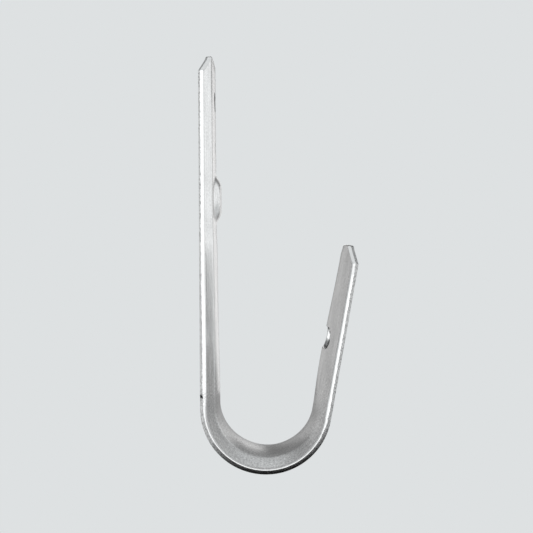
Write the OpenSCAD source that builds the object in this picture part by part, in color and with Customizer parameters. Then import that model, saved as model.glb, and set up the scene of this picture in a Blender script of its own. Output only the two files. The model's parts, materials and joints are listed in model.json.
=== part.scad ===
// J hook cable support: one strip of galvanised steel, pressed to a crowned
// section with flared edges, then bent into a J. The long back leg is fixed to
// a wall or bracket, and cables lie in the bend, behind the shorter front leg.
// Millimetres. The origin is the middle of the fixing hole, on the back of the
// sheet. +X points away from the wall, +Z up, and Y runs across the strip.

/* [Strip] */
// Thickness of the steel sheet
sheet_t = 2.1; // [1.5:0.1:2.5]
// Width of the pressed strip, over its flared edges
strip_w = 31.75; // [28:0.25:38]
// Width of each flared edge, across the strip
flare_w = 5.5; // [4:0.5:7]
// Slope of the flared edges, away from the cables
flare_slope = 27; // [15:1:32]
// Rise of the crown from the creases to the middle of the strip
crown_rise = 0.85; // [0.3:0.05:1.2]

/* [Bend] */
// Diameter of the round cable bundle that fits the bend
bundle_d = 33.34; // [25.4:0.01:50.8]
// Outward lean of the front leg
front_lean = 10.369; // [0:0.001:15]

/* [Legs] */
// Height of the back leg, from the middle of the bend to its top end
back_leg_h = 119.8; // [115:0.1:160]
// Length of the front leg, from the end of the bend to its tip
front_leg_l = 59.2; // [45:0.1:80]
// Size of the chamfered corners at both ends of the strip
end_chamfer = 6; // [3:0.5:9]
// Radius between each chamfer and the end it leads to
chamfer_r = 2; // [0.5:0.5:3]

/* [Holes] */
// Height of the fixing hole, from the middle of the bend
fixing_h = 105.5; // [100:0.1:108]
// Diameter of the fixing hole, a clearance hole for a 1/4 inch screw
fixing_d = 7.14; // [5:0.01:8]
// Height of the pin hole, from the middle of the bend
pin_h = 89.4; // [88:0.1:94]
// Diameter of the pin hole
pin_d = 3.6; // [3:0.1:5]
// Distance of the retainer slot from the end of the bend, along the front leg
slot_at = 26; // [15:0.5:35]
// Length of the retainer slot, across the strip
slot_l = 18; // [12:0.5:19]
// Width of the retainer slot, along the front leg
slot_w = 7.5; // [5:0.1:9]

/* [Boss] */
// Height of the pressed boss, from the middle of the bend
boss_h = 71.2; // [65:0.1:76]
// Diameter of the boss where it leaves the crown
boss_base_d = 18; // [14:0.5:19]
// Diameter of its flat top
boss_top_d = 10.4; // [6:0.1:11]
// Rise of the boss over the crown
boss_rise = 1.86; // [1:0.01:2]
// Radius of its upper edge
boss_edge_r = 1.5; // [0.5:0.1:2]

/* [Hidden] */
$fn = 64;

steel = [0.74, 0.75, 0.76];
past = 1;        // how far a cutter runs past the face it cuts
arc_steps = 6;   // straight steps in each half of the crown
edge_steps = 4;  // straight steps in a rounded corner

bend_r = bundle_d / 2;
half_w = strip_w / 2;
crease_w = half_w - flare_w;
crown_r = (crease_w * crease_w + crown_rise * crown_rise) / (2 * crown_rise);
crown_end = asin(crease_w / crown_r);
bend_x = sheet_t + bend_r;
bend_z = -fixing_h;

// Points on an arc about centre c, from angle a0 to a1, in n steps
function arc(c, r, a0, a1, n) =
    [for (i = [0 : n]) let (a = a0 + (a1 - a0) * i / n) c + r * [cos(a), sin(a)]];

// The face that bears the cables, from the middle of the strip to its edge:
// the crown, then the flared edge. Each point is [distance from the bend's
// axis, distance across the strip].
crown = arc([bend_r + crown_r, 0], crown_r, 180, 180 - crown_end, arc_steps);
lip = [crown[arc_steps][0] + flare_w * tan(flare_slope), half_w];

// The other face lies one sheet thickness away, with a mitre at the crease
crown_back = arc([bend_r + crown_r, 0], crown_r - sheet_t, 180, 180 - crown_end, arc_steps);
mitre = (flare_slope + crown_end) / 2;
mitre_l = sheet_t / cos((flare_slope - crown_end) / 2);
crease_back = crown[arc_steps] + mitre_l * [cos(mitre), -sin(mitre)];
lip_back = lip + sheet_t * [cos(flare_slope), -sin(flare_slope)];

function other_side(points) =
    [for (i = [len(points) - 1 : -1 : 0]) [points[i][0], -points[i][1]]];

half_face = concat(crown, [lip, lip_back, crease_back],
    [for (i = [arc_steps - 1 : -1 : 0]) crown_back[i]]);

// Cross-section of the pressed strip
module section() {
    polygon(half_face);
    polygon(other_side(half_face));
}

// Flat outline of a leg: square at the bend, chamfered at its free end
module leg_outline(length) {
    corner = half_w - end_chamfer;
    rounded = arc([corner - chamfer_r * tan(22.5), length - chamfer_r], chamfer_r, 45, 90, edge_steps);
    side = concat([[half_w + past, -past], [half_w + past, length - end_chamfer - past]], rounded);
    polygon(concat(side, [for (i = [len(side) - 1 : -1 : 0]) [-side[i][0], side[i][1]]]));
}

// A straight leg rising from the bend's axis, its bearing face towards that axis
module leg(length) {
    intersection() {
        linear_extrude(length) section();
        rotate([90, 0, 90]) linear_extrude(bend_r * 2) leg_outline(length);
    }
}

module bend() {
    rotate([90, 0, 0]) rotate([0, 0, 180]) rotate_extrude(angle = 180 - front_lean) section();
}

// The three runs of the strip, placed about the middle of the bend
module strip() {
    translate([bend_x, 0, bend_z]) {
        mirror([1, 0, 0]) leg(back_leg_h);
        bend();
        rotate([0, front_lean, 0]) leg(front_leg_l);
    }
}

// A solid of revolution about the boss's own axis; its profile's first
// coordinate is the radius, the second the height over the crown
module boss_solid(profile) {
    translate([sheet_t, 0, bend_z + boss_h]) rotate([0, 90, 0]) rotate_extrude() polygon(profile);
}

boss_slope = atan(2 * boss_rise / (boss_base_d - boss_top_d));

// The boss as seen from the cables; its skirt ends inside the sheet
module boss_face() {
    skirt_r = boss_base_d / 2;
    skirt_in = 0.9;
    top_r = boss_top_d / 2 - boss_edge_r * tan(boss_slope / 2);
    edge = arc([top_r, boss_rise - boss_edge_r], boss_edge_r, 90, 90 - boss_slope, edge_steps);
    boss_solid(concat([[0, -sheet_t * 2 / 3], [skirt_r + skirt_in, -sheet_t * 2 / 3],
        [skirt_r + skirt_in, -skirt_in], [skirt_r, 0]],
        [for (i = [edge_steps : -1 : 0]) edge[i]], [[0, boss_rise]]));
}

// The hollow behind the boss, one sheet thickness from its face
module boss_hollow() {
    top_r = boss_top_d / 2 - sheet_t * tan(boss_slope / 2);
    depth = boss_rise + past;
    boss_solid([[0, boss_rise - sheet_t], [top_r, boss_rise - sheet_t],
        [top_r + depth / tan(boss_slope), -sheet_t - past], [0, -sheet_t - past]]);
}

// A hole through the back leg, at a height from the middle of the bend
module back_hole(height, d) {
    translate([-flare_w, 0, bend_z + height]) rotate([0, 90, 0]) cylinder(d = d, h = bend_r);
}

// The retainer slot, with round ends, square to the front leg
module retainer_slot() {
    end_y = (slot_l - slot_w) / 2;
    translate([bend_x, 0, bend_z]) rotate([0, front_lean, 0])
        translate([bend_r - flare_w, 0, slot_at]) rotate([90, 0, 90]) linear_extrude(bend_r) {
            square([2 * end_y, slot_w], center = true);
            for (side = [-1, 1]) translate([side * end_y, 0]) circle(d = slot_w);
        }
}

module hook() color(steel) {
    difference() {
        union() {
            strip();
            boss_face();
        }
        boss_hollow();
        back_hole(fixing_h, fixing_d);
        back_hole(pin_h, pin_d);
        retainer_slot();
    }
}

hook();
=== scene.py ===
# %% [markdown]
# A J hook that carries data cables is one strip of galvanised steel. A press
# gives the strip a crowned section with flared edges, punches its holes and a
# slot, raises a boss, and bends it into a J. This lesson takes the same steps
# in another order: a blank with no thickness that already follows the J, holes
# cut through it, its ends shaped, the section pressed, and the sheet's
# thickness added last. That way each step works on one thin sheet, where every
# vertex has a known place along the strip and across it. The packed
# construction model comes first, because every size hangs on it.

# %% Load the frame
import json
import math

import bmesh
import bpy
from mathutils import Matrix, Vector


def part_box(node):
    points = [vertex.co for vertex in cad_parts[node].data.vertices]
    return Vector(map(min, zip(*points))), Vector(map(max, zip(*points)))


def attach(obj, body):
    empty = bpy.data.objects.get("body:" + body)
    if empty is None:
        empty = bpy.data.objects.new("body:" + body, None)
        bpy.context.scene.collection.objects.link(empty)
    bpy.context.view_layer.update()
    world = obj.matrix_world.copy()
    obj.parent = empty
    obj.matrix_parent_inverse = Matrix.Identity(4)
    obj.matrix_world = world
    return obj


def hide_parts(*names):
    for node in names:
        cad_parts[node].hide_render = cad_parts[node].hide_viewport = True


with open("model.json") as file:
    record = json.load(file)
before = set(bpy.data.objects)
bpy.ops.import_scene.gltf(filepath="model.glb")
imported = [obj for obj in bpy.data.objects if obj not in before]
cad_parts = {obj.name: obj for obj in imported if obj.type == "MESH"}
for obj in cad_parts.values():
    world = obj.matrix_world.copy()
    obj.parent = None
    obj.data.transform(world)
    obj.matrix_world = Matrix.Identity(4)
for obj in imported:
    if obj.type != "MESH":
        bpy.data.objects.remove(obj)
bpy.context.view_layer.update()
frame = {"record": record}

# %% [markdown]
# The mounts give the sheet's thickness and the holes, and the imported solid's
# box gives the width, the lowest point and the top. What the box can't tell is
# named here: the inner radius of the bend, the front leg's lean and length, and
# the section's flares and crown.

# %% Sizes, in metres
MM = 0.001
mounts = {mount["name"]: mount for mount in frame["record"]["mounts"]}
box_low, box_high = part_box("hook")

SHEET = mounts["fixing_hole"]["dims"]["length_mm"] * MM
BEND_RADIUS = 16.67 * MM            # of the face that bears the cables, in mid strip
LEAN = math.radians(10.369)         # outward lean of the front leg
FRONT_LEG = 59.2 * MM
HALF_WIDTH = box_high.y
FLARE_WIDTH = 5.5 * MM
END_CHAMFER = 6 * MM
CHAMFER_RADIUS = 2 * MM

BEND_X = SHEET + BEND_RADIUS
RIM_RADIUS = BEND_X - box_low.x     # of the strip's outer corners, in the bend
BEND_Z = box_low.z + RIM_RADIUS
BACK_LEG = box_high.z - BEND_Z
BEND_ANGLE = math.pi - LEAN
BEND_LENGTH = BEND_ANGLE * BEND_RADIUS
STRIP = BACK_LEG + BEND_LENGTH + FRONT_LEG
CREASE = HALF_WIDTH - FLARE_WIDTH   # from mid strip to where a flare begins

bend_centre = Vector((BEND_X, 0, BEND_Z))
front_up = Vector((math.sin(LEAN), 0, math.cos(LEAN)))      # along the front leg, to its tip
front_away = Vector((math.cos(LEAN), 0, -math.sin(LEAN)))   # off its outer side
print(f"strip {STRIP / MM:.1f} mm long: back leg {BACK_LEG / MM:.1f}, bend {BEND_LENGTH / MM:.1f}")


# %% [markdown]
# In Blender's window the mouse picks what the next operator works on. A script
# has to do it in code, by place: one helper makes a piece the active one, and
# another selects the parts of its mesh that pass a test.

# %% Helpers that stand in for clicking
def only(piece):
    """Make piece the one selected and active object, in object mode."""
    if bpy.context.object and bpy.context.object.mode != "OBJECT":
        bpy.ops.object.mode_set(mode="OBJECT")
    bpy.ops.object.select_all(action="DESELECT")
    piece.select_set(True)
    bpy.context.view_layer.objects.active = piece


def pick(piece, kind, test):
    """In edit mode, select just the verts, edges or faces that pass, and count them."""
    mode = {"verts": "VERT", "edges": "EDGE", "faces": "FACE"}[kind]
    bpy.ops.mesh.select_mode(type=mode)
    bpy.ops.mesh.select_all(action="DESELECT")
    mesh = bmesh.from_edit_mesh(piece.data)
    chosen = [part for part in getattr(mesh, kind) if test(part)]
    for part in chosen:
        part.select_set(True)
    bmesh.update_edit_mesh(piece.data)
    return len(chosen)


def edge_middle(edge):
    """The point halfway along an edge."""
    return (edge.verts[0].co + edge.verts[1].co) / 2


def smooth(x):
    """An S-curve from 0 to 1."""
    x = min(max(x, 0.0), 1.0)
    return x * x * (3 - 2 * x)


# %% [markdown]
# The blank. On the real hook this is a strip cut from coil. It could be a flat
# grid that a Simple Deform modifier bends, but that bends the whole grid. Here
# only the bend is spun: the back leg is a grid of nearly square cells, its
# bottom row of edges is spun about the bend's centre, and the last row is
# extruded on along the front leg. Small cells everywhere let later steps press
# a smooth section into the sheet.

# %% The back leg as a grid
COLUMNS = 64
RIM_COLUMN = 1.05 * MM              # the outermost cells, wide enough for the rolled rim
ROW = 0.6 * MM
bpy.ops.object.select_all(action="DESELECT")
bpy.ops.mesh.primitive_grid_add(x_subdivisions=round(BACK_LEG / ROW), y_subdivisions=COLUMNS,
                                size=1)
strap = bpy.context.object
strap.name = strap.data.name = "j_strap"
stand_up = Matrix.Rotation(math.pi / 2, 4, "Y") @ Matrix.Diagonal((BACK_LEG, 2 * HALF_WIDTH, 1, 1))
strap.data.transform(Matrix.Translation((SHEET, 0, BEND_Z + BACK_LEG / 2)) @ stand_up)
column = 2 * HALF_WIDTH / COLUMNS
for v in strap.data.vertices:
    if abs(v.co.y) < HALF_WIDTH - column / 2:
        v.co.y *= (HALF_WIDTH - RIM_COLUMN) / (HALF_WIDTH - column)

# %% Spin the bend, then extrude the front leg
BEND_STEPS = 120
bpy.ops.object.mode_set(mode="EDIT")
pick(strap, "edges", lambda e: edge_middle(e).z < BEND_Z + ROW / 8)
bpy.ops.mesh.spin(steps=BEND_STEPS, angle=BEND_ANGLE, center=bend_centre, axis=(0, 1, 0))
front_rows = round(FRONT_LEG / ROW)
for row in range(front_rows):
    bpy.ops.mesh.extrude_region_move(
        TRANSFORM_OT_translate={"value": front_up * FRONT_LEG / front_rows})
print("blank:", len(bmesh.from_edit_mesh(strap.data).faces), "cells")


# %% [markdown]
# Everything that follows asks the same question of a point: how far along the
# strip is it, and which way is off the sheet's outer side? One function answers
# it for both legs and the bend.

# %% Where a point lies along the strip
def station(co):
    """(distance along the strip from its top end, unit vector off its outer side)"""
    out = Vector((co.x - BEND_X, 0, co.z - BEND_Z))
    if out.z > 0 and out.x < 0:
        return BACK_LEG - out.z, Vector((-1, 0, 0))
    up_front = out.dot(front_up)
    if up_front > 0 and out.x > 0:
        return BACK_LEG + BEND_LENGTH + up_front, front_away
    turned = (math.atan2(out.z, out.x) - math.pi) % (2 * math.pi)
    return BACK_LEG + min(turned, BEND_ANGLE) * BEND_RADIUS, out.normalized()


# %% [markdown]
# The holes. A punch drives each of them through the flat strip. A Boolean
# would leave long thin faces in the grid, and the section pressed afterwards
# would show them as creases. So a window is cut from the grid, its border is
# extruded in place, and every new vertex is drawn in to the nearest point of
# the hole's outline: a circle, or for the slot a circle pulled apart across the
# strip. The edges between border and outline are then cut into even cells.

# %% Punch the holes
def punch(centre, up, radius, margin, stretch=0.0):
    """Open a hole round centre, where up runs along the strip; stretch makes it a slot."""
    across, along = stretch + radius + margin, radius + margin
    reach = math.hypot(across, along) + ROW

    def in_window(f):
        out = f.calc_center_median() - centre
        return abs(out.y) < across and abs(out.dot(up)) < along and out.length < reach

    pick(strap, "faces", in_window)
    bpy.ops.mesh.delete(type="FACE")
    pick(strap, "edges", lambda e: e.is_boundary and (edge_middle(e) - centre).length < reach)
    bpy.ops.mesh.extrude_region_move()
    ring = {v.index for v in bmesh.from_edit_mesh(strap.data).verts if v.select}
    for v in bmesh.from_edit_mesh(strap.data).verts:
        if v.select:
            core = centre + Vector((0, max(-stretch, min(stretch, v.co.y - centre.y)), 0))
            v.co = core + (v.co - core).normalized() * radius
    pick(strap, "edges", lambda e: (e.verts[0].index in ring) != (e.verts[1].index in ring))
    bpy.ops.mesh.subdivide(number_cuts=5)
    print("punched a hole with", len(ring), "sides")


up = Vector((0, 0, 1))
for name in ("fixing_hole", "pin_hole"):
    punch(Vector(mounts[name]["pos_m"]) + Vector((SHEET, 0, 0)), up,
          mounts[name]["dims"]["r_mm"] * MM, 1.8 * MM)

# %% Punch the slot for the cable retainer
SLOT_AT = 26 * MM
SLOT_LENGTH = 18 * MM
SLOT_WIDTH = 7.5 * MM
slot_centre = bend_centre + front_away * BEND_RADIUS + front_up * SLOT_AT
punch(slot_centre, front_up, SLOT_WIDTH / 2, 1.8 * MM, stretch=(SLOT_LENGTH - SLOT_WIDTH) / 2)

# %% Turn every face of the blank towards the cables
bpy.ops.mesh.select_mode(type="FACE")
bpy.ops.mesh.select_all(action="SELECT")
bpy.ops.mesh.normals_make_consistent(inside=False)
mesh = bmesh.from_edit_mesh(strap.data)
back_leg_faces = [f for f in mesh.faces if f.calc_center_median().z > BEND_Z + FRONT_LEG]
if sum(f.normal.x for f in back_leg_faces) < 0:
    bpy.ops.mesh.flip_normals()
print("turned", len(mesh.faces), "faces towards the cables")


# %% [markdown]
# The ends. Both ends of the strip are cropped: a long chamfer on each corner,
# slightly rounded where it meets the end. The cells near an end are squeezed
# sideways to fit, which keeps every row straight.

# %% Shape the two ends
def end_half_width(d):
    """Half the strip's width at distance d from an end."""
    corner = HALF_WIDTH - END_CHAMFER
    r = CHAMFER_RADIUS
    if d < r * (1 - math.cos(math.pi / 4)):
        return corner - r * math.tan(math.pi / 8) + math.sqrt(r * r - (r - d) ** 2)
    return min(HALF_WIDTH, corner + d)


mesh = bmesh.from_edit_mesh(strap.data)
for v in mesh.verts:
    s, away = station(v.co)
    v.co.y *= end_half_width(max(0, min(s, STRIP - s))) / HALF_WIDTH
print(f"the ends are {2 * end_half_width(0) / MM:.1f} mm wide")


# %% [markdown]
# The section. The press crowns the strip and folds a flare down along each
# edge, so that the cables lie on a smooth hump and not on a sharp rim. It
# follows the real metal here: the flares and the crown are deepest in and near
# the bend, and both relax towards the strip's ends. The rim keeps its place.

# %% Press the crown and the flares
CREASE_BLEND = 0.7 * MM             # half the width of the rounding at a crease
# (distance along the strip, slope of the flares in degrees, rise of the crown)
SECTIONS = [(0, 24, 0.1 * MM),
            (5 * MM, 24, 0.42 * MM),
            (0.45 * BACK_LEG, 24.5, 0.45 * MM),
            (0.6 * BACK_LEG, 27, 0.6 * MM),
            (BACK_LEG, 29, 1.05 * MM),
            (BACK_LEG + 0.4 * BEND_LENGTH, 28, 1.75 * MM),
            (BACK_LEG + 0.65 * BEND_LENGTH, 27, 1.5 * MM),
            (BACK_LEG + BEND_LENGTH, 23, 1.45 * MM),
            (STRIP - 0.72 * FRONT_LEG, 22, 2.0 * MM),
            (STRIP - 4 * MM, 22, 1.1 * MM),
            (STRIP, 22, 0.7 * MM)]


def section_at(s):
    """(slope of the flares, rise of the crown) at distance s along the strip"""
    for (s0, slope0, crown0), (s1, slope1, crown1) in zip(SECTIONS, SECTIONS[1:]):
        if s <= s1:
            part = smooth((s - s0) / (s1 - s0))
            slope = slope0 + (slope1 - slope0) * part
            return math.radians(slope), crown0 + (crown1 - crown0) * part
    return math.radians(slope1), crown1


def drop(w, slope, crown):
    """How far the bearing face has fallen from mid strip, at w from it."""
    w = abs(w)
    crown_slope = 2 * crown / CREASE
    fallen = crown * (w / CREASE) ** 2 if w < CREASE else crown + (w - CREASE) * crown_slope
    past = w - CREASE
    if past > CREASE_BLEND:
        fold = past
    elif past > -CREASE_BLEND:
        fold = (past + CREASE_BLEND) ** 2 / (4 * CREASE_BLEND)
    else:
        fold = 0
    return fallen + (math.tan(slope) - crown_slope) * fold


def face_height(w, s):
    """Height of the bearing face over the rim's outer corner."""
    slope, crown = section_at(s)
    return SHEET * math.cos(slope) + drop(HALF_WIDTH, slope, crown) - drop(w, slope, crown)


for where, s in (("top", 0), ("bottom of the bend", BACK_LEG + BEND_LENGTH / 2), ("tip", STRIP)):
    print(f"the section at the {where} is {face_height(0, s) / MM:.1f} mm high")

# %% [markdown]
# The boss is a round button pressed out towards the cables. It keeps the back
# leg stiff and holds the bundle off the screw's head. A smooth step from its
# base to its flat top is all it needs.

# %% Raise the boss
BOSS_Z = BEND_Z + 71.2 * MM
BOSS_RISE = 1.9 * MM
BOSS_BASE = 9.5 * MM                # radii
BOSS_TOP = 4.6 * MM


def boss_lift(co, s):
    """How far the boss raises the sheet at a point."""
    if s > BACK_LEG:
        return 0
    r = math.hypot(co.y, co.z - BOSS_Z)
    return BOSS_RISE * smooth((BOSS_BASE - r) / (BOSS_BASE - BOSS_TOP))


for v in mesh.verts:
    s, away = station(v.co)
    inward = face_height(v.co.y, s) - (RIM_RADIUS - BEND_RADIUS) + boss_lift(v.co, s)
    v.co -= away * inward
bmesh.update_edit_mesh(strap.data)
bpy.ops.object.mode_set(mode="OBJECT")
print("moved", len(strap.data.vertices), "points to the pressed section")

# %% [markdown]
# The sheet gets its thickness from a Solidify modifier, away from the cables,
# with a second material on the rim that it makes. Shears draw the metal over
# on the side they enter and tear it on the side they leave, so the edge that
# faces the cables becomes a broad round, and the other stays nearly sharp.

# %% Thickness
mill_finish = bpy.data.materials.new("mill_finish_steel")
sheared_edge = bpy.data.materials.new("sheared_edge_steel")
strap.data.materials.append(mill_finish)
strap.data.materials.append(sheared_edge)
only(strap)
solidify = strap.modifiers.new("sheet", "SOLIDIFY")
solidify.thickness = SHEET
solidify.offset = -1
solidify.use_even_offset = True
solidify.material_offset_rim = 1
bpy.ops.object.modifier_apply(modifier=solidify.name)
print("with its thickness the sheet has", len(strap.data.polygons), "faces")


# %% Round the edges
ROLLED = 0.48 * MM                  # of the sheet's edges, as a bevel's width
ROLLED_PROFILE = 0.3                # 0.25 is a flat chamfer, 0.5 is round
DEBURRED = 0.25 * MM                # of the holes' edges


def on_rim(f):
    return f.material_index == 1


def is_arris(e):
    return len(e.link_faces) == 2 and on_rim(e.link_faces[0]) != on_rim(e.link_faces[1])


def bearing_side(e):
    """True for an edge whose sheet face looks at the cables."""
    sheet_face = [f for f in e.link_faces if not on_rim(f)][0]
    s, away = station(sheet_face.calc_center_median())
    return sheet_face.normal.dot(away) < 0


def in_hole(e):
    """True for an edge of a hole or the slot."""
    middle = edge_middle(e)
    s, away = station(middle)
    return abs(middle.y) < SLOT_LENGTH / 2 + MM and 2 * MM < s < STRIP - 2 * MM


bpy.ops.object.mode_set(mode="EDIT")
rolled = pick(strap, "edges", lambda e: is_arris(e) and bearing_side(e) and not in_hole(e))
bpy.ops.mesh.bevel(offset=ROLLED, segments=6, profile=ROLLED_PROFILE, affect="EDGES",
                   clamp_overlap=False)
holes = pick(strap, "edges", lambda e: is_arris(e) and in_hole(e))
bpy.ops.mesh.bevel(offset=DEBURRED, segments=3, affect="EDGES", clamp_overlap=True)
print("rolled", rolled, "edges, rounded", holes, "round the holes")
bpy.ops.object.mode_set(mode="OBJECT")

# %% [markdown]
# A nick. Something hard once hit the rim just above the bend. Bump alone would
# leave the mesh whole, and the dent is meant to be in it. So the faces round
# the spot are subdivided, and the new points are pushed in, less and less
# towards the edge of the dent.

# %% Dent the rim
NICK = Vector((BEND_X - RIM_RADIUS + 0.45 * MM, -HALF_WIDTH + 0.7 * MM, BEND_Z + 3.9 * MM))
NICK_RADIUS = 0.75 * MM
NICK_DEPTH = 0.5 * MM
NICK_PUSH = Vector((0.6, 0.8, 0))   # the way the metal was driven
only(strap)
bpy.ops.object.mode_set(mode="EDIT")
near = pick(strap, "faces", lambda f: (f.calc_center_median() - NICK).length < 2.2 * NICK_RADIUS)
bpy.ops.mesh.subdivide(number_cuts=4)
dented = pick(strap, "verts", lambda v: (v.co - NICK).length < NICK_RADIUS)
for v in bmesh.from_edit_mesh(strap.data).verts:
    if v.select:
        part = smooth(1 - (v.co - NICK).length / NICK_RADIUS)
        v.co += NICK_PUSH * NICK_DEPTH * part
bmesh.update_edit_mesh(strap.data)
bpy.ops.object.mode_set(mode="OBJECT")
print("dented", dented, "points of", near, "faces")

# %% [markdown]
# Smooth shading hides the small cells, but the arrises that the shears left
# must stay crisp. Shading smooth by angle does both: edges that turn by more
# than the angle stay sharp.

# %% Shade it smooth
only(strap)
bpy.ops.object.shade_smooth_by_angle(angle=math.radians(35))
print("strap", len(strap.data.polygons), "faces", [round(d / MM, 2) for d in strap.dimensions])

# %% [markdown]
# Every vertex now learns where it is on the sheet: how far along the strip, how
# far across, and how deep below the face that bears the cables, all in
# millimetres. The materials read these attributes, so the mill's grain follows
# the strip round the bend, and the rim's bands keep their depth.

# %% Store each vertex's place on the sheet
def place_on_sheet(co):
    """(along, across, depth) in millimetres"""
    s, away = station(co)
    slope, crown = section_at(s)
    height = RIM_RADIUS - (co - bend_centre).dot(away)
    lean = slope if abs(co.y) > CREASE else 2 * crown * co.y / CREASE ** 2
    depth = (face_height(co.y, s) + boss_lift(co, s) - height) * math.cos(lean)
    return s / MM, co.y / MM, depth / MM


places = [place_on_sheet(v.co) for v in strap.data.vertices]
for i, name in enumerate(("along", "across", "depth")):
    layer = strap.data.attributes.new(name, "FLOAT", "POINT")
    layer.data.foreach_set("value", [place[i] for place in places])

# %% Give the rim's faces their own material
RIM_FROM, RIM_TO = 0.1, 0.93 * SHEET / MM
for face in strap.data.polygons:
    depth = sum(places[v][2] for v in face.vertices) / len(face.vertices)
    face.material_index = 1 if RIM_FROM < depth < RIM_TO else 0
print("depths from", round(min(p[2] for p in places), 2), "to", round(max(p[2] for p in places), 2))


# %% [markdown]
# The finishes are node trees, and in code a tree is easier to read when each
# node that it needs takes one line. These helpers add a node and wire it in the
# same breath. They don't decide on any look.

# %% Helpers that add a node and wire it
def node(tree, kind, **settings):
    """Add a node and set its properties, or its inputs where a name is an input's."""
    made = tree.nodes.new("ShaderNode" + kind)
    for name, value in settings.items():
        if name in made.bl_rna.properties:
            setattr(made, name, value)
        else:
            made.inputs[name.replace("_", " ")].default_value = value
    return made


def wire(tree, source, target):
    """Link an output socket to an input socket."""
    tree.links.new(source, target)


def math_node(tree, operation, *values):
    """A Math node whose inputs are numbers or sockets."""
    made = node(tree, "Math", operation=operation)
    for socket, value in zip(made.inputs, values):
        if isinstance(value, (int, float)):
            socket.default_value = value
        else:
            wire(tree, value, socket)
    return made.outputs[0]


def product(tree, first, *others):
    """All the sockets and numbers multiplied together."""
    total = first
    for value in others:
        total = math_node(tree, "MULTIPLY", total, value)
    return total


def mix_sum(tree, start, *terms):
    """start plus the sum of each term's socket times its weight."""
    total = start
    for socket, weight in terms:
        total = math_node(tree, "MULTIPLY_ADD", socket, weight, total)
    return total


def ramp(tree, value, start, end, at_start, at_end):
    """The value mapped smoothly from (start, end) to (at_start, at_end), and held beyond."""
    made = node(tree, "MapRange", interpolation_type="SMOOTHSTEP")
    wire(tree, value, made.inputs["Value"])
    made.inputs["From Min"].default_value = start
    made.inputs["From Max"].default_value = end
    made.inputs["To Min"].default_value = at_start
    made.inputs["To Max"].default_value = at_end
    return made.outputs["Result"]


def tint_node(tree, colour, tone):
    """The colour, darkened or lightened by a tone."""
    made = node(tree, "VectorMath", operation="SCALE")
    made.inputs[0].default_value = colour[:3]
    wire(tree, tone, made.inputs["Scale"])
    return made.outputs[0]


def noise_node(tree, place, stretch, scale, detail=2.0, roughness=0.5):
    """Noise in millimetres on the sheet, stretched along its axes."""
    scaled = node(tree, "VectorMath", operation="MULTIPLY")
    wire(tree, place, scaled.inputs[0])
    scaled.inputs[1].default_value = stretch
    made = node(tree, "TexNoise", Scale=scale, Detail=detail, Roughness=roughness)
    wire(tree, scaled.outputs[0], made.inputs["Vector"])
    return made.outputs["Fac"]


# %% Helpers for node groups
def group(name, outputs, **inputs):
    """A node group: its outputs are {name: socket type}, and its inputs are numbers."""
    tree = bpy.data.node_groups.new(name, "ShaderNodeTree")
    for label, kind in outputs.items():
        tree.interface.new_socket(label, in_out="OUTPUT", socket_type="NodeSocket" + kind)
    for label, number in inputs.items():
        socket = tree.interface.new_socket(label, in_out="INPUT", socket_type="NodeSocketFloat")
        socket.default_value = number
    return tree, tree.nodes.new("NodeGroupOutput")


def use(tree, used, **values):
    """Place a node group in a tree, with its own values."""
    made = tree.nodes.new("ShaderNodeGroup")
    made.node_tree = used
    for label, number in values.items():
        made.inputs[label].default_value = number
    return made


# %% [markdown]
# Every finish starts from the place on the sheet, so reading the three stored
# attributes is a group of its own. It also puts them together as one vector,
# for noises to use as they would a texture coordinate.

# %% The place on the sheet
sheet_place, result = group("sheet_place", {"Place": "Vector", "Across": "Float",
                                            "Along": "Float", "Depth": "Float"})
joined = node(sheet_place, "CombineXYZ")
for name, axis in (("Across", "X"), ("Along", "Y"), ("Depth", "Z")):
    read = node(sheet_place, "Attribute", attribute_name=name.lower())
    wire(sheet_place, read.outputs["Fac"], joined.inputs[axis])
    wire(sheet_place, read.outputs["Fac"], result.inputs[name])
wire(sheet_place, joined.outputs[0], result.inputs["Place"])

# %% A mask for the bend
BEND_FROM = BACK_LEG / MM           # along the strip, in millimetres
BEND_TO = (BACK_LEG + BEND_LENGTH) / MM


def bend_mask(tree, along, rise, fall, before=0.0, beyond=0.0):
    """1 in the bend; rise and fall are the stretches, from its two ends, where that changes."""
    return product(tree, ramp(tree, along, BEND_FROM + rise[0], BEND_FROM + rise[1], before, 1),
                   ramp(tree, along, BEND_TO + fall[0], BEND_TO + fall[1], 1, beyond))


print(f"the bend lies from {BEND_FROM:.1f} to {BEND_TO:.1f} mm along the strip")


# %% [markdown]
# Mill grain. A hot-dipped sheet is rolled once more, which leaves fine mottle,
# and faint streaks along the strip. A picture could carry both, but it would
# end at its border. Three noises on the sheet's own place do the same: fine,
# stretched along the strip, and large and soft. Bending stretches the skin, so
# the fine one is stronger in the bend than on the legs. Each material says how
# strongly the grain shows in it.

# %% Mill grain
mill_grain, result = group("mill_grain", {"Tone": "Float", "Height": "Float"}, Strength=1.0)
here = use(mill_grain, sheet_place)
place = here.outputs["Place"]
fine = noise_node(mill_grain, place, (1, 0.6, 1), 2.4, 3, 0.6)
streaks = noise_node(mill_grain, place, (1, 0.06, 1), 1.5, 2)
clouds = noise_node(mill_grain, place, (1, 0.4, 1), 0.25, 2)
worked = bend_mask(mill_grain, here.outputs["Along"], (-25, 4), (-3, 21), before=0.45, beyond=0.6)
mottle = product(mill_grain, mix_sum(mill_grain, -0.5, (fine, 1)), worked)
shade = mix_sum(mill_grain, -0.35, (mottle, 1.7), (streaks, 0.35), (clouds, 0.35))
strength = mill_grain.nodes.new("NodeGroupInput").outputs["Strength"]
wire(mill_grain, math_node(mill_grain, "MULTIPLY_ADD", shade, strength, 1), result.inputs["Tone"])
wire(mill_grain, fine, result.inputs["Height"])
print("mill grain:", len(mill_grain.nodes), "nodes")

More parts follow.
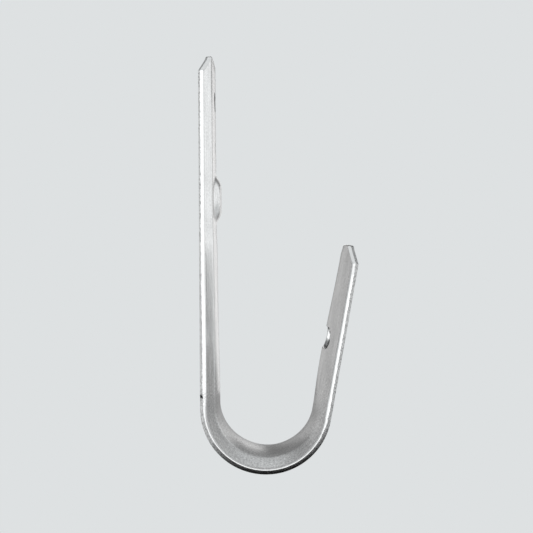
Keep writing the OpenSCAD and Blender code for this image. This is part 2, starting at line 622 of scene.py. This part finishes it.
# %% [markdown]
# The mill finish is bare zinc-coated steel: full Metallic, and a mid grey that
# the grain darkens and lightens. It is a little rougher where the bend has
# stretched it. From just above the bend to the tip, a thin dark line is also
# painted beside each rolled edge, as a painted reflection.

# %% Mill finish
STEEL = (0.737, 0.735, 0.733, 1)
# where the painted dark line, a painted reflection, lies beside the rolled edge
PAINTED_LINE_AT = 15.3                   # millimetres from mid strip
mill_finish.use_nodes = True
tree = mill_finish.node_tree
shader = tree.nodes["Principled BSDF"]
grain = use(tree, mill_grain, Strength=1.0)
here = use(tree, sheet_place)
along = here.outputs["Along"]
from_middle = math_node(tree, "ABSOLUTE", here.outputs["Across"])
from_line = math_node(tree, "ABSOLUTE", math_node(tree, "SUBTRACT", from_middle, PAINTED_LINE_AT))
# painted reflection: the thin dark line beside each rolled edge
line = product(tree, ramp(tree, from_line, 0.1, 0.4, 1, 0),
               ramp(tree, along, BEND_FROM - 15, BEND_FROM + 5, 0, 1))
tone = product(tree, grain.outputs["Tone"], mix_sum(tree, 1, (line, -0.35)))
wire(tree, tint_node(tree, STEEL, tone), shader.inputs["Base Color"])
bump = node(tree, "Bump", Strength=0.3, Distance=0.02 * MM)
wire(tree, grain.outputs["Height"], bump.inputs["Height"])
wire(tree, bump.outputs["Normal"], shader.inputs["Normal"])
shader.inputs["Metallic"].default_value = 1
worked = bend_mask(tree, along, (-8, 4), (-3, 11))
wire(tree, mix_sum(tree, 0.25, (worked, 0.1)), shader.inputs["Roughness"])
print("mill finish:", len(tree.nodes), "nodes")

# %% [markdown]
# A sheared edge shows bands. Where the blade enters, the metal rolls over; then
# comes a bright band that the blade burnished, and then metal that tore, grey
# and pitted, with a ragged border. Separate pieces of mesh could carry them,
# but one noise that moves the border by depth is simpler. The bands aren't the
# same all along: the torn one is narrowest on the upper part of the back leg
# and widest in the bend, so each stretch of the strip has its own mask.

# %% Bands across a sheared edge
shear_bands, result = group("shear_bands", {"Torn": "Float", "Pits": "Float", "Dull": "Float",
                                            "Wall": "Float", "Scars": "Float"})
here = use(shear_bands, sheet_place)
place, along, across = (here.outputs[name] for name in ("Place", "Along", "Across"))
upper = ramp(shear_bands, along, BEND_FROM - 50, BEND_FROM - 20, 1, 0)
front = ramp(shear_bands, along, BEND_TO - 4, BEND_TO + 11, 0, 1)
bend = bend_mask(shear_bands, along, (-8, 4), (-5, 7))
jag = noise_node(shear_bands, place, (1, 1, 0.2), 1.3, 3, 0.7)
wander = noise_node(shear_bands, place, (0.2, 1, 0.2), 0.3, 1)
depth = mix_sum(shear_bands, -0.65, (here.outputs["Depth"], 1), (jag, 0.8), (wander, 0.5))
torn_from = mix_sum(shear_bands, 1.05, (upper, 0.3), (front, -0.05), (bend, -0.4))
past_border = math_node(shear_bands, "SUBTRACT", depth, torn_from)
wire(shear_bands, ramp(shear_bands, past_border, -0.05, 0.12, 0, 1), result.inputs["Torn"])
pits = noise_node(shear_bands, place, (1, 1, 1), 2.4, 4, 0.75)
wire(shear_bands, ramp(shear_bands, pits, 0.38, 0.56, 1, 0), result.inputs["Pits"])

# %% [markdown]
# The roll is duller than the burnished band. Right beside the sheet's face a
# thin dark line is painted on too, as a painted reflection. The chamfers at the
# strip's ends show neither.

# %% The dull side of the roll, and a painted dark line
chamfer = END_CHAMFER / MM
tip = STRIP / MM - chamfer
rolled = ramp(shear_bands, depth, 0.45, 0.7, 1, 0)
# painted reflection: a thin dark line right beside the sheet's face
painted_dark_line_rim = ramp(shear_bands, here.outputs["Depth"], 0.12, 0.32, 1, 0)
soft = mix_sum(shear_bands, 0, (upper, 0.14), (front, 0.12), (bend, 0.15))
strong = mix_sum(shear_bands, 0, (upper, 0.3), (front, 0.5), (bend, 0.5))
dull_and_painted_line = math_node(shear_bands, "ADD", product(shear_bands, rolled, soft),
                 product(shear_bands, painted_dark_line_rim, strong))
between_ends = product(shear_bands, ramp(shear_bands, along, chamfer - 1, chamfer + 1, 0, 1),
                       ramp(shear_bands, along, tip - 1, tip + 1, 1, 0))
wire(shear_bands, product(shear_bands, dull_and_painted_line, between_ends), result.inputs["Dull"])

# %% [markdown]
# The walls of the holes are painted dark, as painted shade. In the slot that
# shade is painted on its lower side alone, and the upper side stays bright.

# %% Painted shade on the walls of the holes and the slot
HOLES_FROM, HOLES_TO = 9, 36        # both holes of the back leg lie between, along the strip
slot_along = (BACK_LEG + BEND_LENGTH + SLOT_AT) / MM
inside = ramp(shear_bands, math_node(shear_bands, "ABSOLUTE", across), 11, 12, 1, 0)
back_holes = product(shear_bands, ramp(shear_bands, along, HOLES_FROM - 1, HOLES_FROM, 0, 1),
                     ramp(shear_bands, along, HOLES_TO, HOLES_TO + 2, 1, 0))
slot_low = product(shear_bands, ramp(shear_bands, along, BEND_TO, BEND_TO + 2, 0, 1),
                   ramp(shear_bands, along, slot_along - 2.4, slot_along - 1, 1, 0))
# painted shade on the walls of the holes and on the slot's lower side
painted_wall_shade = mix_sum(shear_bands, 0, (back_holes, 1), (slot_low, 0.8))
wire(shear_bands, product(shear_bands, inside, painted_wall_shade), result.inputs["Wall"])

# %% [markdown]
# The rim is scraped round the nick too. Specks stand thick beside it and thin
# out to both sides, and the dent is coloured nearly black.

# %% Scars round the nick
SCARS_AT = BEND_FROM - 4.2
from_scars = math_node(shear_bands, "ABSOLUTE", math_node(shear_bands, "SUBTRACT", along, SCARS_AT))
near_side = ramp(shear_bands, across, -14, -13, 1, 0)
specks = noise_node(shear_bands, place, (0.3, 1, 1), 3.1, 2, 0.6)
specks = product(shear_bands, ramp(shear_bands, specks, 0.5, 0.62, 0, 1),
                 ramp(shear_bands, from_scars, 0.5, 3.2, 1, 0), near_side, 0.65)
dent = product(shear_bands, ramp(shear_bands, from_scars, 0.35, 0.75, 1, 0),
               ramp(shear_bands, here.outputs["Depth"], 1.1, 1.5, 0, 1), near_side)
wire(shear_bands, math_node(shear_bands, "MAXIMUM", specks, dent), result.inputs["Scars"])
print("shear bands:", len(shear_bands.nodes), "nodes")

# %% [markdown]
# The sheared edge uses those masks on a brighter steel, because a burnished
# band is smoother than the sheet. Each mask darkens the colour by its own
# share, and pits also dent the surface a little with Bump. Two of the masks
# are painted light: the dark line beside the face is a painted reflection, and
# the walls of the holes carry painted shade.

# %% Sheared edge
BURNISHED = (0.903, 0.9, 0.898, 1)
sheared_edge.use_nodes = True
tree = sheared_edge.node_tree
shader = tree.nodes["Principled BSDF"]
bands = use(tree, shear_bands)
torn = bands.outputs["Torn"]
pitted = product(tree, bands.outputs["Pits"], torn)
grain = use(tree, mill_grain, Strength=0.35)
# the dull mask includes a painted dark line, and the walls' mask is painted shade
tone = product(tree, mix_sum(tree, 1, (torn, -0.42), (pitted, -0.36)),
               mix_sum(tree, 1, (bands.outputs["Dull"], -1)),
               mix_sum(tree, 1, (bands.outputs["Wall"], -0.85)),
               mix_sum(tree, 1, (bands.outputs["Scars"], -0.92)), grain.outputs["Tone"])
wire(tree, tint_node(tree, BURNISHED, tone), shader.inputs["Base Color"])
wire(tree, mix_sum(tree, 0.2, (torn, 0.08)), shader.inputs["Roughness"])
bump = node(tree, "Bump", Strength=0.35, Distance=0.05 * MM)
wire(tree, product(tree, pitted, -1), bump.inputs["Height"])
wire(tree, bump.outputs["Normal"], shader.inputs["Normal"])
shader.inputs["Metallic"].default_value = 1
print("sheared edge:", len(tree.nodes), "nodes")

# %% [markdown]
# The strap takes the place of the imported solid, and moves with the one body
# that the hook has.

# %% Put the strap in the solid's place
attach(strap, "root")
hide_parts("hook")

# %% [markdown]
# The camera looks level along the strip's width, so the J shows its profile. It
# stands a little above the bend and close, with a long lens, which shows the
# inside of the bend and of both legs.

# %% Camera
LENS = 64.45                        # mm on a 36 mm sensor
camera_data = bpy.data.cameras.new("camera")
camera = bpy.data.objects.new("camera", camera_data)
bpy.context.scene.collection.objects.link(camera)
bpy.context.scene.camera = camera
camera.location = (21.1 * MM, -335.9 * MM, BEND_Z + 54.0 * MM)
camera.rotation_euler = (math.radians(90), math.radians(0.33), 0)
camera_data.lens = LENS
camera_data.shift_x = -0.0103
camera_data.shift_y = -0.0347
camera_data.clip_start = 0.01
print("camera", round(-camera.location.y / MM), "mm from the middle of the strip")

# %% [markdown]
# A plain pale world lights the hook evenly, and is what both the camera and the
# metal see behind it. A room or a sky could stand in its place, but its
# windows and its walls would be mirrored in the bare metal.

# %% World
PALE = (0.73, 0.753, 0.761, 1)
world = bpy.data.worlds.new("studio")
bpy.context.scene.world = world
world.use_nodes = True
world.node_tree.nodes["Background"].inputs["Color"].default_value = PALE
bpy.context.scene.view_settings.view_transform = "Standard"
print("world", PALE[:3])

# %% [markdown]
# Bare metal shows what stands round it, so in an even pale world it looks flat
# and white. A studio puts dark cards beside it. Here a large grey one stands
# behind the hook, a small lighter one fills the gap behind the bend, and a
# black one lies under it, above a plain pale floor. The cards are hidden from
# the camera alone.

# %% Floor and dark cards
def plain(name, colour, glow=0.0):
    """An even, matt material; glow is the grey that it shows by itself."""
    made = bpy.data.materials.new(name)
    made.use_nodes = True
    shader = made.node_tree.nodes["Principled BSDF"]
    shader.inputs["Base Color"].default_value = colour
    shader.inputs["Roughness"].default_value = 1
    shader.inputs["Specular IOR Level"].default_value = 0
    shader.inputs["Emission Color"].default_value = (glow, glow, glow, 1)
    shader.inputs["Emission Strength"].default_value = 1
    return made


def stage_sheet(name, location, turn, wide, high, material):
    """A flat sheet that is part of the studio and not of the hook."""
    bpy.ops.object.select_all(action="DESELECT")
    bpy.ops.mesh.primitive_plane_add(size=1, location=location, rotation=turn)
    made = bpy.context.object
    made.name = name
    made.scale = (wide, high, 1)
    made.data.materials.append(material)
    return made


UPRIGHT = (math.pi / 2, 0, 0)
FLAT = (0, 0, 0)
stage_sheet("floor", (0, 0, -0.9), FLAT, 1, 1, plain("floor_pale", PALE))
BLACK = (0, 0, 0, 1)
cards = [stage_sheet("under_card", (0.055, -0.05, -0.2), FLAT, 0.25, 0.34,
                     plain("card_black", BLACK)),
         stage_sheet("back_card", (-0.73, 0.6, 0.2), UPRIGHT, 2.54, 1.2,
                     plain("card_grey", BLACK, 0.17)),
         stage_sheet("bend_card", (0.03, 0.05, -0.16), UPRIGHT, 0.08, 0.1,
                     plain("card_mid", BLACK, 0.3))]
for card in cards:
    card.visible_camera = False
print("cards:", ", ".join(card.name for card in cards))


# %% [markdown]
# Softboxes. Large area lights all round give each face of the section its own
# even tone: strong in front and to the left, softer to the right, and small
# ones before the grey card, for the faces that are seen at a low angle.

# %% Softboxes
AIM = Vector((20 * MM, 0, -50 * MM))    # near the middle of the hook


def softbox(name, azimuth, elevation, wide, high, level, reach=1.0):
    """An even area light that faces the hook; its angles and its size are in degrees."""
    azimuth, elevation = math.radians(azimuth), math.radians(elevation)
    away = Vector((math.cos(azimuth) * math.cos(elevation), math.sin(azimuth) * math.cos(elevation),
                   math.sin(elevation)))
    data = bpy.data.lights.new(name, "AREA")
    data.shape = "RECTANGLE"
    data.size = 2 * reach * math.tan(math.radians(wide / 2))
    data.size_y = 2 * reach * math.tan(math.radians(high / 2))
    data.energy = level * math.pi * data.size * data.size_y
    lamp = bpy.data.objects.new(name, data)
    bpy.context.scene.collection.objects.link(lamp)
    lamp.location = AIM + away * reach
    lamp.rotation_euler = away.to_track_quat("Z", "Y").to_euler()
    lamp.visible_camera = False


softbox("front_box", 270, 8, 80, 62, 0.55)
softbox("front_left_box", 205, -2, 46, 70, 0.5)
softbox("front_right_box", 331, 5, 52, 60, 0.31)
softbox("right_box", 22, 15, 50, 40, 0.35)
softbox("side_box", 60, 1, 26, 26, 0.42, reach=0.5)
softbox("back_right_box", 80, 2.5, 14, 39, 0.88, reach=0.35)
softbox("back_left_box", 123, 0, 54, 24, 0.4, reach=0.5)
print("softboxes:", len(bpy.data.lights))
